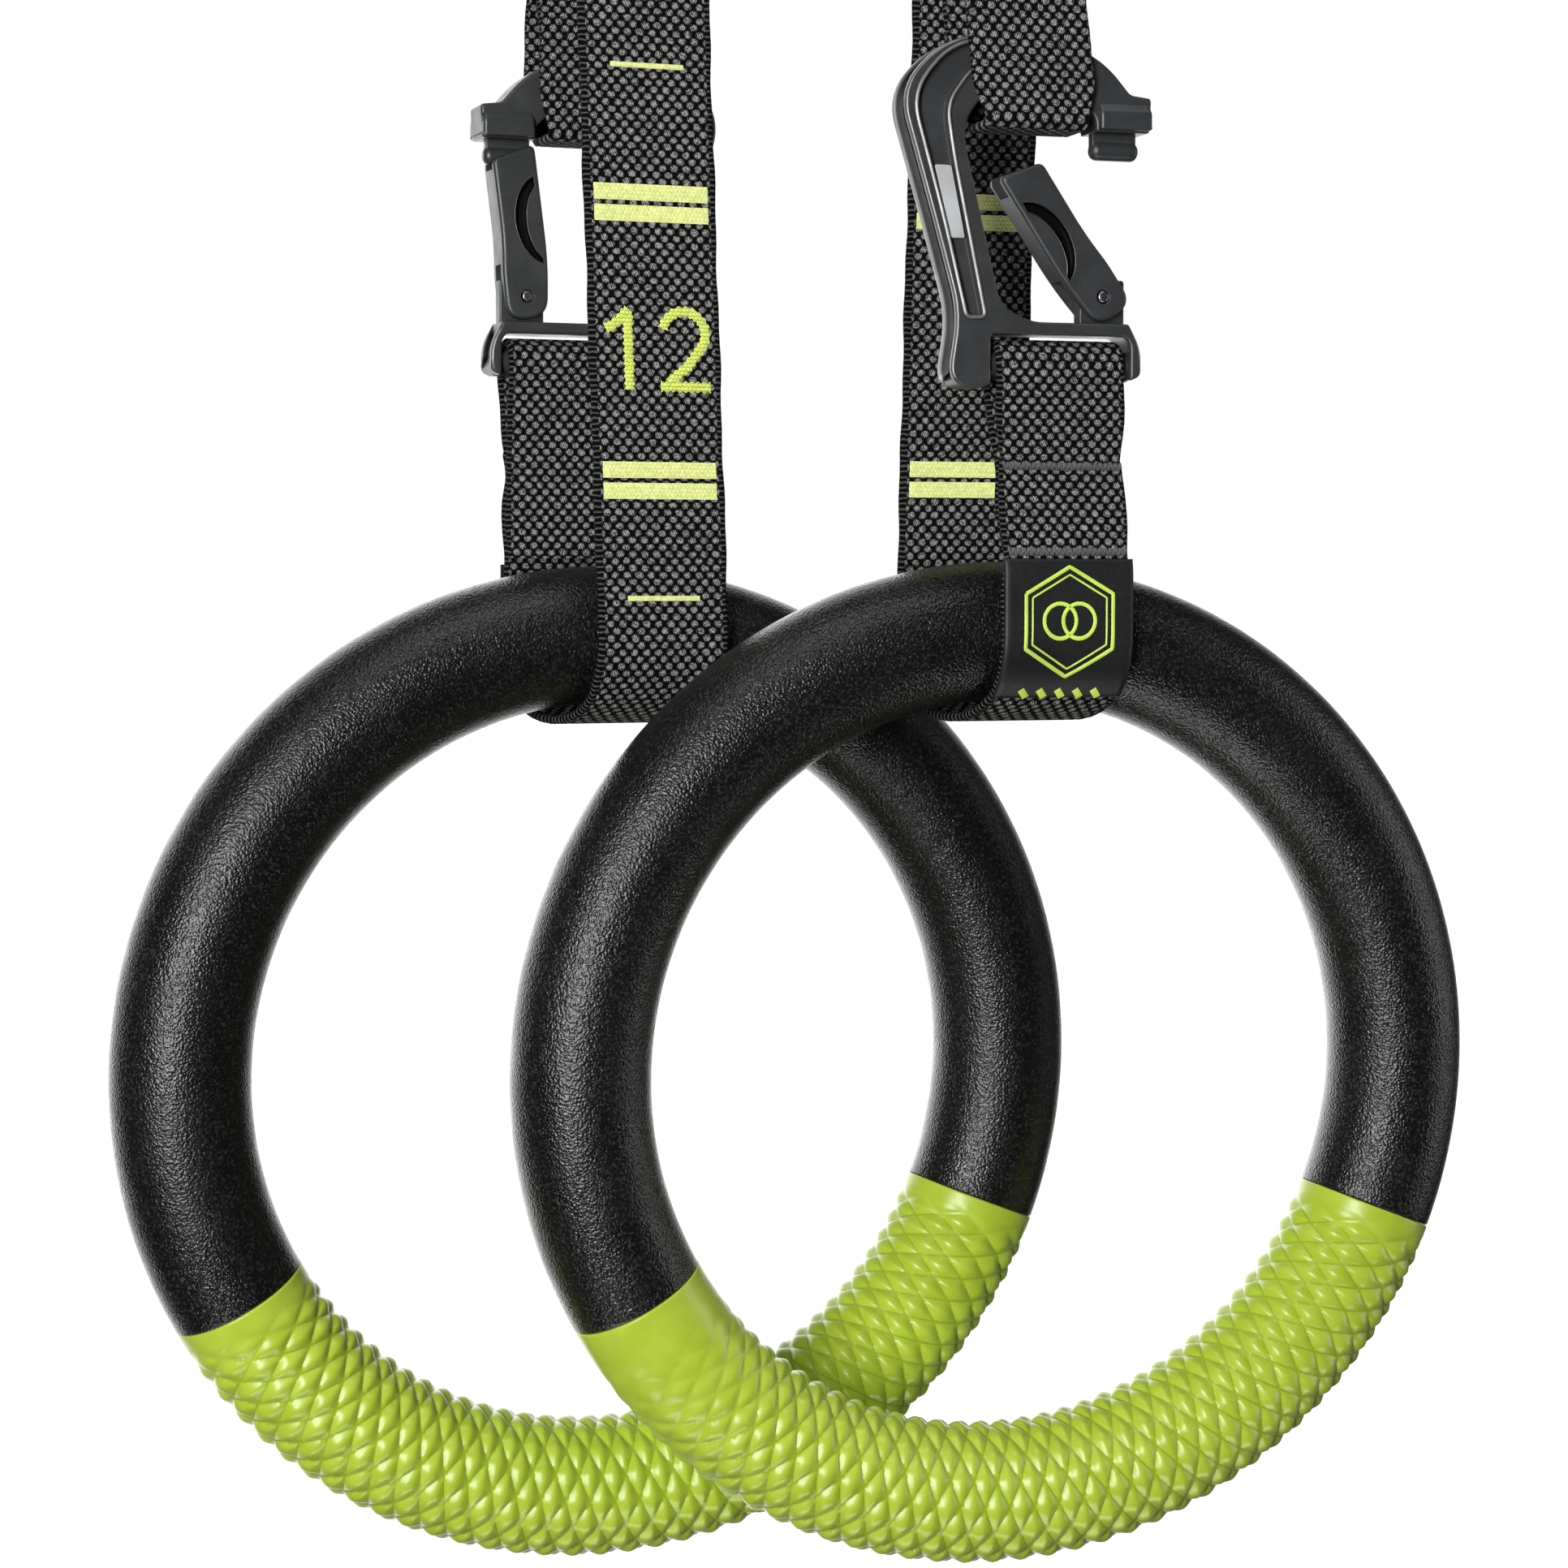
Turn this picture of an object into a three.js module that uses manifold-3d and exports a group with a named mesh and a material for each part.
// A pair of gymnastics rings, each hung from its own webbing strap with a clip-in buckle.
// Millimetres, +Z up. The origin is the seat of the left strap: the underside of its top turn,
// where it bears on the bar. Each assembly is built about the centre of its own ring.
import * as THREE from "three";
import * as BufferGeometryUtils from "three/addons/utils/BufferGeometryUtils.js";
import Module from "manifold-3d";

const wasm = await Module();
wasm.setup();

// Ring
const RING_RADIUS = 101.5;
const TUBE_RADIUS = 16;
const GRIP_RADIUS = 16.1;
const CORE_RADIUS = 10;
const BORE_RADIUS = 11.4;
const GRIP_START_DEG = 208.9;
const GRIP_END_DEG = 338.1;
const SEAM_GAP_DEG = 0.2;
const RING_SIDES = 16;
const BORE_SIDES = 10;
const CORE_STEPS = 36;
const GRIP_STEPS = 18;
const SHELL_STEPS = 32;

// Webbing
const STRAP_WIDTH = 31.5;
const STRAP_THICK = 2;
const TURN_RADIUS = 19;
const TURN_SEGMENTS = 13;
const STRAP_MID = TURN_RADIUS + STRAP_THICK / 2;
const STRAP_OUTER = TURN_RADIUS + STRAP_THICK;
const SEAT_HALF_FLAT = 3;
const GAP = 0.3;

// Heights above the ring's centre
const BAR_HEIGHT = 290;
const SEAT_HEIGHT = BAR_HEIGHT + TURN_RADIUS;
const SWING_GAP = 8;
const STRAND_TOP = BAR_HEIGHT - SWING_GAP;
const TAIL_BOTTOM = 119;
const LAYERS_MEET = 138;
const CLIP_SPLIT = 262;
const LABEL_TOP = 118;
const LABEL_THICK = 0.9;
const LABEL_WRAP_DEG = 46;
const EYE_WIDTH = 31;
const CLIP_WIDTH = 28;
const CLIP_BOTTOM_SHIFT = -2.5;
const CLIP_TAPER = 18;

// Buckle, measured from the middle of its lower bar
const PLATE_THICK = 10;
const BAR_RADIUS = 3.4;
const BAR_LEFT = -14;
const BAR_RIGHT = 21;
const EYE_RADIUS = BAR_RADIUS + 0.4;
const TONGUE_THICK = 3.8;
const FORK_WIDTH = 4.6;
const PIVOT = [14.3, 15.4];
const PIN_RADIUS = 1.25;
const PIN_HOLE_RADIUS = 1.55;
const GATE_THICK = 9;
const GATE_CLOSED_DEG = 7;
const NOSE_ROD_RADIUS = 2.2;
const NOSE_ROD_LENGTH = 11.4;
const NOSE_ROD_CENTRE = [18.2, 48.5];
const NOSE_BLOCK_SIZE = [12.6, 13, 6.4];
const NOSE_BLOCK_CENTRE = [19, 55.6];
const NOSE_WEB_SIZE = [10.6, 2.4, 4];
const NOSE_WEB_CENTRE = [18, 51.1];
const CLIP_BOTTOM = 52;
const CLIP_HALF_INNER = 5.6;
const POCKET_DEPTH = 1.4;
const INSET_THICK = 0.8;
const ROUND_SIDES = 12;

// Gate, measured from its pin with the closed tip straight up
const FORK_HEIGHT = 8.2;
const TIP_SLOT_HEIGHT = 30.4;
const TIP_SLOT_WIDTH = 2 * NOSE_ROD_RADIUS + 0.9;
const SPRING_BORE_TOP = 24;
const SPRING_BORE_RADIUS = 1.8;
const SPRING_BOTTOM = 12.8;
const SPRING_TOP = 23;
const SPRING_RADIUS = 1.2;
const SPRING_WIRE_RADIUS = 0.3;
const SPRING_TURNS = 6;
const STEPS_PER_TURN = 7;
const CUTTER_SIZE = 20;

// The two assemblies. The left one is turned half round, so that its numbered strand is in front.
// foot, top and eyeShift are how far each strand has wandered sideways at the ring, at the bar and
// at the buckle.
const ASSEMBLIES = [
  {
    prefix: "left_",
    place: [0, 0, 0],
    turnDeg: 182,
    eyeHeight: 166,
    gateDeg: GATE_CLOSED_DEG,
    gripMirror: true,
    foot: { tail: 4, strand: -7.5 },
    top: { clip: -4, strand: -1.5 },
    eyeShift: 3.8,
  },
  {
    prefix: "right_",
    place: [85, -39, 1],
    turnDeg: -2,
    eyeHeight: 161.5,
    gateDeg: -34,
    gripMirror: false,
    foot: { tail: 7.6, strand: -4 },
    top: { clip: -11, strand: 1 },
    eyeShift: 3.8,
  },
];

const FINISHES = {
  shell: { color: 0x161718, roughness: 0.42, metalness: 0 },
  grip: { color: 0xa5cc2a, roughness: 0.5, metalness: 0 },
  core: { color: 0x3a3b3c, roughness: 0.6, metalness: 0 },
  webbing: { color: 0x1c1d1d, roughness: 0.95, metalness: 0 },
  label: { color: 0x101010, roughness: 0.6, metalness: 0 },
  buckle: { color: 0x4a4c4e, roughness: 0.45, metalness: 0.6 },
  inset: { color: 0xb4b6b7, roughness: 0.5, metalness: 0.2 },
  steel: { color: 0x8d9094, roughness: 0.3, metalness: 1 },
};

function radians(degrees) {
  return (degrees * Math.PI) / 180;
}

// Booleans

function toSolid(geometry) {
  const bare = geometry.index ? geometry.toNonIndexed() : geometry.clone();
  bare.deleteAttribute("normal");
  bare.deleteAttribute("uv");
  const merged = BufferGeometryUtils.mergeVertices(bare, 1e-4);
  return new wasm.Manifold(
    new wasm.Mesh({
      numProp: 3,
      vertProperties: merged.attributes.position.array,
      triVerts: new Uint32Array(merged.index.array),
    }),
  );
}

function toGeometry(solid) {
  const mesh = solid.getMesh();
  const geometry = new THREE.BufferGeometry();
  geometry.setAttribute("position", new THREE.BufferAttribute(mesh.vertProperties, 3));
  geometry.setIndex(new THREE.BufferAttribute(mesh.triVerts, 1));
  geometry.computeVertexNormals();
  return geometry;
}

// Outlines

// A closed path through corners [x, z, radius], each rounded with a quadratic curve.
function roundedPath(corners, PathType = THREE.Shape) {
  const path = new PathType();
  const count = corners.length;
  corners.forEach(([x, z, radius], i) => {
    const here = new THREE.Vector2(x, z);
    const before = new THREE.Vector2(...corners[(i + count - 1) % count].slice(0, 2));
    const after = new THREE.Vector2(...corners[(i + 1) % count].slice(0, 2));
    const entry = here.clone().add(before.sub(here).setLength(radius));
    const exit = here.clone().add(after.sub(here).setLength(radius));
    if (i === 0) {
      path.moveTo(entry.x, entry.y);
    } else {
      path.lineTo(entry.x, entry.y);
    }
    path.quadraticCurveTo(here.x, here.y, exit.x, exit.y);
  });
  path.closePath();
  return path;
}

// Extrudes a front-view outline (x, z) evenly about the plane y = 0.
function plate(shape, thickness, curveSegments = 5) {
  const geometry = new THREE.ExtrudeGeometry(shape, {
    depth: thickness,
    steps: 1,
    bevelEnabled: false,
    curveSegments,
  });
  geometry.translate(0, 0, -thickness / 2);
  geometry.rotateX(Math.PI / 2);
  return geometry;
}

function cylinder(radius, length, sides, axis) {
  const geometry = new THREE.CylinderGeometry(radius, radius, length, sides);
  if (axis === "x") {
    geometry.rotateZ(Math.PI / 2);
  } else if (axis === "z") {
    geometry.rotateX(Math.PI / 2);
  }
  return geometry;
}

// Ring

class RingArc extends THREE.Curve {
  constructor(startDeg, endDeg) {
    super();
    this.start = radians(startDeg);
    this.sweep = radians(endDeg - startDeg);
  }

  getPoint(t, target = new THREE.Vector3()) {
    const angle = this.start + t * this.sweep;
    return target.set(RING_RADIUS * Math.cos(angle), 0, RING_RADIUS * Math.sin(angle));
  }
}

function circlePoints(radius, sides, clockwise = false) {
  const points = [];
  for (let i = 0; i < sides; i += 1) {
    const angle = ((clockwise ? -1 : 1) * 2 * Math.PI * i) / sides;
    points.push(new THREE.Vector2(radius * Math.cos(angle), radius * Math.sin(angle)));
  }
  return points;
}

function ringSleeve(radius, startDeg, endDeg, steps) {
  const section = new THREE.Shape(circlePoints(radius, RING_SIDES));
  section.holes.push(new THREE.Path(circlePoints(BORE_RADIUS, BORE_SIDES, true)));
  return new THREE.ExtrudeGeometry(section, {
    steps,
    bevelEnabled: false,
    extrudePath: new RingArc(startDeg, endDeg),
  });
}

function ringCore() {
  const geometry = new THREE.TorusGeometry(RING_RADIUS, CORE_RADIUS, BORE_SIDES, CORE_STEPS);
  return geometry.rotateX(Math.PI / 2);
}

// Webbing

// Sideways drift of a strand: x at the ring, changing evenly with height to x at the top.
function driftOf(assembly) {
  const { foot, top } = assembly;
  return (y, z) => {
    const rise = THREE.MathUtils.clamp((z - RING_RADIUS) / (BAR_HEIGHT - RING_RADIUS), 0, 1);
    const toRear = THREE.MathUtils.smoothstep(y, -STRAP_MID, STRAP_MID);
    const atFoot = THREE.MathUtils.lerp(foot.tail, foot.strand, toRear);
    const atTop = THREE.MathUtils.lerp(top.clip, top.strand, toRear);
    return THREE.MathUtils.lerp(atFoot, atTop, rise);
  };
}

// Extrudes a side-view outline (y, z) across the width and lets it drift sideways.
function webbing(shape, width, drift, curveSegments = TURN_SEGMENTS) {
  const geometry = new THREE.ExtrudeGeometry(shape, {
    depth: width,
    steps: 1,
    bevelEnabled: false,
    curveSegments,
  });
  geometry.translate(0, 0, -width / 2);
  geometry.rotateX(Math.PI / 2);
  geometry.rotateZ(Math.PI / 2);
  const position = geometry.attributes.position;
  for (let i = 0; i < position.count; i += 1) {
    position.setX(i, position.getX(i) + drift(position.getY(i), position.getZ(i)));
  }
  return geometry;
}

// Turn over the bar. Its underside lies flat for a few millimetres where it bears on the bar.
function topTurn(drift) {
  const flatAngle = 2 * Math.asin(SEAT_HALF_FLAT / TURN_RADIUS);
  const shape = new THREE.Shape();
  shape.absarc(0, BAR_HEIGHT, STRAP_OUTER, 0, Math.PI, false);
  shape.absarc(0, BAR_HEIGHT, TURN_RADIUS, Math.PI, Math.PI / 2 + flatAngle, true);
  shape.lineTo(-SEAT_HALF_FLAT, SEAT_HEIGHT);
  shape.lineTo(SEAT_HALF_FLAT, SEAT_HEIGHT);
  shape.absarc(0, BAR_HEIGHT, TURN_RADIUS, Math.PI / 2 - flatAngle, 0, true);
  return webbing(shape, STRAP_WIDTH, drift);
}

function longStrand(drift) {
  const shape = new THREE.Shape();
  shape.moveTo(STRAP_OUTER, STRAND_TOP);
  shape.lineTo(TURN_RADIUS, STRAND_TOP);
  shape.absarc(0, RING_RADIUS, TURN_RADIUS, 0, -Math.PI, true);
  shape.lineTo(-TURN_RADIUS, TAIL_BOTTOM - GAP);
  shape.lineTo(-STRAP_OUTER, TAIL_BOTTOM - GAP);
  shape.absarc(0, RING_RADIUS, STRAP_OUTER, -Math.PI, 0, false);
  return webbing(shape, STRAP_WIDTH, drift);
}

// Doubled end of the strap: up the front, round the buckle's lower bar and back down inside.
function tailEye(assembly) {
  const { eyeHeight, foot, eyeShift } = assembly;
  const outer = EYE_RADIUS + STRAP_THICK;
  const innerFace = -STRAP_OUTER + 2 * STRAP_THICK + GAP;
  const shape = new THREE.Shape();
  shape.moveTo(-STRAP_OUTER, LAYERS_MEET);
  shape.lineTo(-STRAP_OUTER, TAIL_BOTTOM);
  shape.lineTo(innerFace, TAIL_BOTTOM);
  shape.lineTo(innerFace, LAYERS_MEET);
  shape.lineTo(-STRAP_MID + outer, eyeHeight);
  shape.absarc(-STRAP_MID, eyeHeight, outer, 0, Math.PI, false);
  const eye = new THREE.Path();
  eye.moveTo(-STRAP_MID, LAYERS_MEET + 4);
  eye.lineTo(-STRAP_MID - EYE_RADIUS, eyeHeight);
  eye.absarc(-STRAP_MID, eyeHeight, EYE_RADIUS, Math.PI, 0, true);
  eye.closePath();
  shape.holes.push(eye);
  const drift = (y, z) => {
    const rise = THREE.MathUtils.clamp((z - TAIL_BOTTOM) / (eyeHeight - TAIL_BOTTOM), 0, 1);
    return THREE.MathUtils.lerp(foot.tail, eyeShift, rise);
  };
  return webbing(shape, EYE_WIDTH, drift);
}

// Loop that the buckle clips into: one strand that splits into two round the buckle's arc.
function clipLoop(assembly, drift) {
  const bottom = assembly.eyeHeight + CLIP_BOTTOM;
  const inner = CLIP_HALF_INNER;
  const outer = inner + STRAP_THICK;
  const mouth = bottom + STRAP_THICK;
  const shape = roundedPath([
    [-STRAP_OUTER, STRAND_TOP, 0.1],
    [-STRAP_OUTER, CLIP_SPLIT, 1],
    [-STRAP_MID - outer, CLIP_SPLIT - CLIP_TAPER, 2],
    [-STRAP_MID - outer, bottom, 3],
    [-STRAP_MID + outer, bottom, 3],
    [-STRAP_MID + outer, CLIP_SPLIT - CLIP_TAPER, 2],
    [-TURN_RADIUS, CLIP_SPLIT + 2, 1],
    [-TURN_RADIUS, STRAND_TOP, 0.1],
  ]);
  shape.holes.push(
    roundedPath(
      [
        [-STRAP_MID, CLIP_SPLIT - 6, 1],
        [-STRAP_MID + inner, CLIP_SPLIT - CLIP_TAPER - 1, 2],
        [-STRAP_MID + inner, mouth, 1],
        [-STRAP_MID - inner, mouth, 1],
        [-STRAP_MID - inner, CLIP_SPLIT - CLIP_TAPER - 1, 2],
      ],
      THREE.Path,
    ),
  );
  const loopDrift = (y, z) => {
    const rise = THREE.MathUtils.clamp((z - bottom) / (STRAND_TOP - bottom), 0, 1);
    return THREE.MathUtils.lerp(CLIP_BOTTOM_SHIFT, drift(-STRAP_MID, STRAND_TOP), rise);
  };
  return webbing(shape, CLIP_WIDTH, loopDrift, 3);
}

// Smooth patch sewn over the front of the ring turn.
function labelPatch(drift) {
  const inner = STRAP_OUTER + GAP;
  const outer = inner + LABEL_THICK;
  const lowest = Math.PI + radians(LABEL_WRAP_DEG);
  const shape = new THREE.Shape();
  shape.moveTo(-outer, LABEL_TOP);
  shape.absarc(0, RING_RADIUS, outer, Math.PI, lowest, false);
  shape.absarc(0, RING_RADIUS, inner, lowest, Math.PI, true);
  shape.lineTo(-inner, LABEL_TOP);
  shape.closePath();
  return webbing(shape, STRAP_WIDTH, drift);
}

// Buckle

// Front view of the C-shaped body: spine on the left, arc over the top, gate opening on the right.
const BODY_OUTLINE = [
  [-23, -5.4, 6],
  [23.4, -5.4, 5],
  [23.4, 4, 3],
  [20.4, 9.4, 0.5],
  [-3.5, 9.4, 3.5],
  [-10.5, 13, 3.5],
  [-19.8, 52, 4.5],
  [-13.5, 61, 5.5],
  [-4, 62.8, 4],
  [6, 61, 5],
  [12.2, 55, 1.5],
  [12.2, 52.2, 0.4],
  [25.2, 52.2, 0.8],
  [25.6, 60, 1],
  [20.5, 60.6, 1],
  [13.8, 68.2, 6],
  [-4, 74.6, 9],
  [-24, 71, 7],
  [-34.6, 60, 7.5],
  [-26, 31, 8],
  [-20.4, 11, 6],
];

// Where the doubled strap end passes between the upper web and the lower bar.
const STRAP_WINDOW = [
  [-12.8, -9, 0.5],
  [20.8, -9, 0.5],
  [20.8, 4.4, 1],
  [19.8, 6.6, 1],
  [-12, 6.6, 1],
  [-12.8, 4.4, 1],
];

const TONGUE_OUTLINE = [
  [9.6, 8.6, 0.5],
  [20.4, 8.6, 0.2],
  [20.4, 19.4, 0.8],
  [16.4, 19.4, 0.8],
  [9.6, 17, 3],
];

const SPINE_POCKET = [
  [-19.4, 12, 2],
  [-14.4, 12, 2],
  [-22.4, 49, 3],
  [-17, 63.4, 3],
  [-23.5, 66.5, 3],
  [-30.6, 58.5, 4],
];

// Pale blank plate that lies in the spine pocket.
const INSET_OUTLINE = [
  [-22.2, 27.5, 0.6],
  [-18.9, 27.5, 0.6],
  [-22.2, 43.5, 0.6],
  [-26.1, 43.5, 0.6],
];

function buckleBody() {
  let body = toSolid(plate(roundedPath(BODY_OUTLINE), PLATE_THICK));
  body = body.subtract(toSolid(plate(roundedPath(STRAP_WINDOW), PLATE_THICK + 2)));
  const bar = cylinder(BAR_RADIUS, BAR_RIGHT - BAR_LEFT, ROUND_SIDES, "x");
  body = body.add(toSolid(bar.translate((BAR_RIGHT + BAR_LEFT) / 2, 0, 0)));
  body = body.add(toSolid(plate(roundedPath(TONGUE_OUTLINE), TONGUE_THICK)));
  for (const side of [-1, 1]) {
    const pocket = plate(roundedPath(SPINE_POCKET), 2 * POCKET_DEPTH);
    body = body.subtract(toSolid(pocket.translate(0, (side * PLATE_THICK) / 2, 0)));
  }
  const nose = [
    [new THREE.BoxGeometry(...NOSE_BLOCK_SIZE), NOSE_BLOCK_CENTRE],
    [cylinder(NOSE_ROD_RADIUS, NOSE_ROD_LENGTH, ROUND_SIDES, "x"), NOSE_ROD_CENTRE],
    [new THREE.BoxGeometry(...NOSE_WEB_SIZE), NOSE_WEB_CENTRE],
  ];
  for (const [piece, [x, z]] of nose) {
    body = body.add(toSolid(piece.translate(x, 0, z)));
  }
  const pinHole = cylinder(PIN_HOLE_RADIUS, PLATE_THICK, ROUND_SIDES, "y");
  body = body.subtract(toSolid(pinHole.translate(PIVOT[0], 0, PIVOT[1])));
  return toGeometry(body);
}

// Front view of the gate.
const GATE_OUTLINE = [
  [-4.6, -5.2, 4.5],
  [5.4, -5.2, 4.5],
  [5.2, 6, 2],
  [4.3, 14, 5],
  [4.3, 32.8, 1],
  [-6.3, 35.5, 1],
  [-6.3, 8, 6],
];

// Flat plate with a fork at the pin, a slot at the tip for the nose rod and a bore for the spring.
function gateBody() {
  let gate = toSolid(plate(roundedPath(GATE_OUTLINE), GATE_THICK));
  const fork = new THREE.BoxGeometry(CUTTER_SIZE, FORK_WIDTH, CUTTER_SIZE);
  gate = gate.subtract(toSolid(fork.translate(0, 0, FORK_HEIGHT - CUTTER_SIZE / 2)));
  const tipSlot = new THREE.BoxGeometry(CUTTER_SIZE, TIP_SLOT_WIDTH, CUTTER_SIZE);
  gate = gate.subtract(toSolid(tipSlot.translate(0, 0, TIP_SLOT_HEIGHT + CUTTER_SIZE / 2)));
  const pinHole = cylinder(PIN_HOLE_RADIUS, GATE_THICK + 2, ROUND_SIDES, "y");
  gate = gate.subtract(toSolid(pinHole));
  const boreBottom = FORK_HEIGHT - 1;
  const bore = cylinder(SPRING_BORE_RADIUS, SPRING_BORE_TOP - boreBottom, BORE_SIDES, "z");
  gate = gate.subtract(toSolid(bore.translate(0, 0, (SPRING_BORE_TOP + boreBottom) / 2)));
  return toGeometry(gate);
}

function gatePin() {
  return cylinder(PIN_RADIUS, GATE_THICK + GAP, ROUND_SIDES, "y");
}

class SpringHelix extends THREE.Curve {
  getPoint(t, target = new THREE.Vector3()) {
    const angle = 2 * Math.PI * SPRING_TURNS * t;
    const height = THREE.MathUtils.lerp(SPRING_BOTTOM, SPRING_TOP, t);
    return target.set(SPRING_RADIUS * Math.cos(angle), SPRING_RADIUS * Math.sin(angle), height);
  }
}

function gateSpring() {
  const section = new THREE.Shape(circlePoints(SPRING_WIRE_RADIUS, 4));
  return new THREE.ExtrudeGeometry(section, {
    steps: SPRING_TURNS * STEPS_PER_TURN,
    bevelEnabled: false,
    extrudePath: new SpringHelix(),
  });
}

// Outline [radius, height] of the plunger that the spring pushes against the tongue.
const PLUNGER_OUTLINE = [
  [0, 5.6],
  [0.9, 6.2],
  [1.45, 7.4],
  [1.45, 12.1],
  [0, 12.1],
];

function springPlunger() {
  const points = PLUNGER_OUTLINE.map(([radius, height]) => new THREE.Vector2(radius, height));
  return new THREE.LatheGeometry(points, ROUND_SIDES).rotateX(Math.PI / 2);
}

function insetPlate() {
  return plate(roundedPath(INSET_OUTLINE), INSET_THICK);
}

// Assembly

function named(name, geometry, finish) {
  const mesh = new THREE.Mesh(geometry, new THREE.MeshStandardMaterial(FINISHES[finish]));
  mesh.name = name;
  return mesh;
}

function ringGroup(prefix, mirror) {
  const group = new THREE.Group();
  const grip = ringSleeve(GRIP_RADIUS, GRIP_START_DEG, GRIP_END_DEG, GRIP_STEPS);
  const shellStart = GRIP_END_DEG + SEAM_GAP_DEG;
  const shellEnd = GRIP_START_DEG + 360 - SEAM_GAP_DEG;
  const shell = ringSleeve(TUBE_RADIUS, shellStart, shellEnd, SHELL_STEPS);
  group.add(named(`${prefix}ring_core`, ringCore(), "core"));
  group.add(named(`${prefix}ring_shell`, shell, "shell"));
  group.add(named(`${prefix}ring_grip`, grip, "grip"));
  if (mirror) {
    group.rotation.z = Math.PI;
  }
  return group;
}

function gateGroup(prefix, gateDeg) {
  const group = new THREE.Group();
  group.add(named(`${prefix}gate`, gateBody(), "buckle"));
  group.add(named(`${prefix}gate_spring`, gateSpring(), "steel"));
  group.add(named(`${prefix}spring_plunger`, springPlunger(), "steel"));
  group.position.set(PIVOT[0], 0, PIVOT[1]);
  group.rotation.y = radians(gateDeg);
  return group;
}

function buckleGroup(assembly) {
  const { prefix, eyeHeight, gateDeg } = assembly;
  const group = new THREE.Group();
  group.add(named(`${prefix}buckle_body`, buckleBody(), "buckle"));
  const pin = named(`${prefix}gate_pin`, gatePin(), "steel");
  pin.position.set(PIVOT[0], 0, PIVOT[1]);
  group.add(pin);
  const inset = named(`${prefix}spine_inset`, insetPlate(), "inset");
  inset.position.y = -PLATE_THICK / 2 + POCKET_DEPTH - GAP - INSET_THICK / 2;
  group.add(inset);
  group.add(gateGroup(prefix, gateDeg));
  group.position.set(0, -STRAP_MID, eyeHeight);
  return group;
}

function strapGroup(assembly) {
  const { prefix } = assembly;
  const drift = driftOf(assembly);
  const group = new THREE.Group();
  group.add(named(`${prefix}strap_top_turn`, topTurn(drift), "webbing"));
  group.add(named(`${prefix}strap_long`, longStrand(drift), "webbing"));
  group.add(named(`${prefix}strap_tail`, tailEye(assembly), "webbing"));
  group.add(named(`${prefix}clip_loop`, clipLoop(assembly, drift), "webbing"));
  group.add(named(`${prefix}label_patch`, labelPatch(drift), "label"));
  return group;
}

function assemblyGroup(assembly) {
  const group = new THREE.Group();
  group.add(ringGroup(assembly.prefix, assembly.gripMirror));
  group.add(strapGroup(assembly));
  group.add(buckleGroup(assembly));
  const [x, y, z] = assembly.place;
  group.position.set(x, y, z - SEAT_HEIGHT);
  group.rotation.z = radians(assembly.turnDeg);
  return group;
}

const rings = new THREE.Group();
for (const assembly of ASSEMBLIES) {
  rings.add(assemblyGroup(assembly));
}

export default rings;
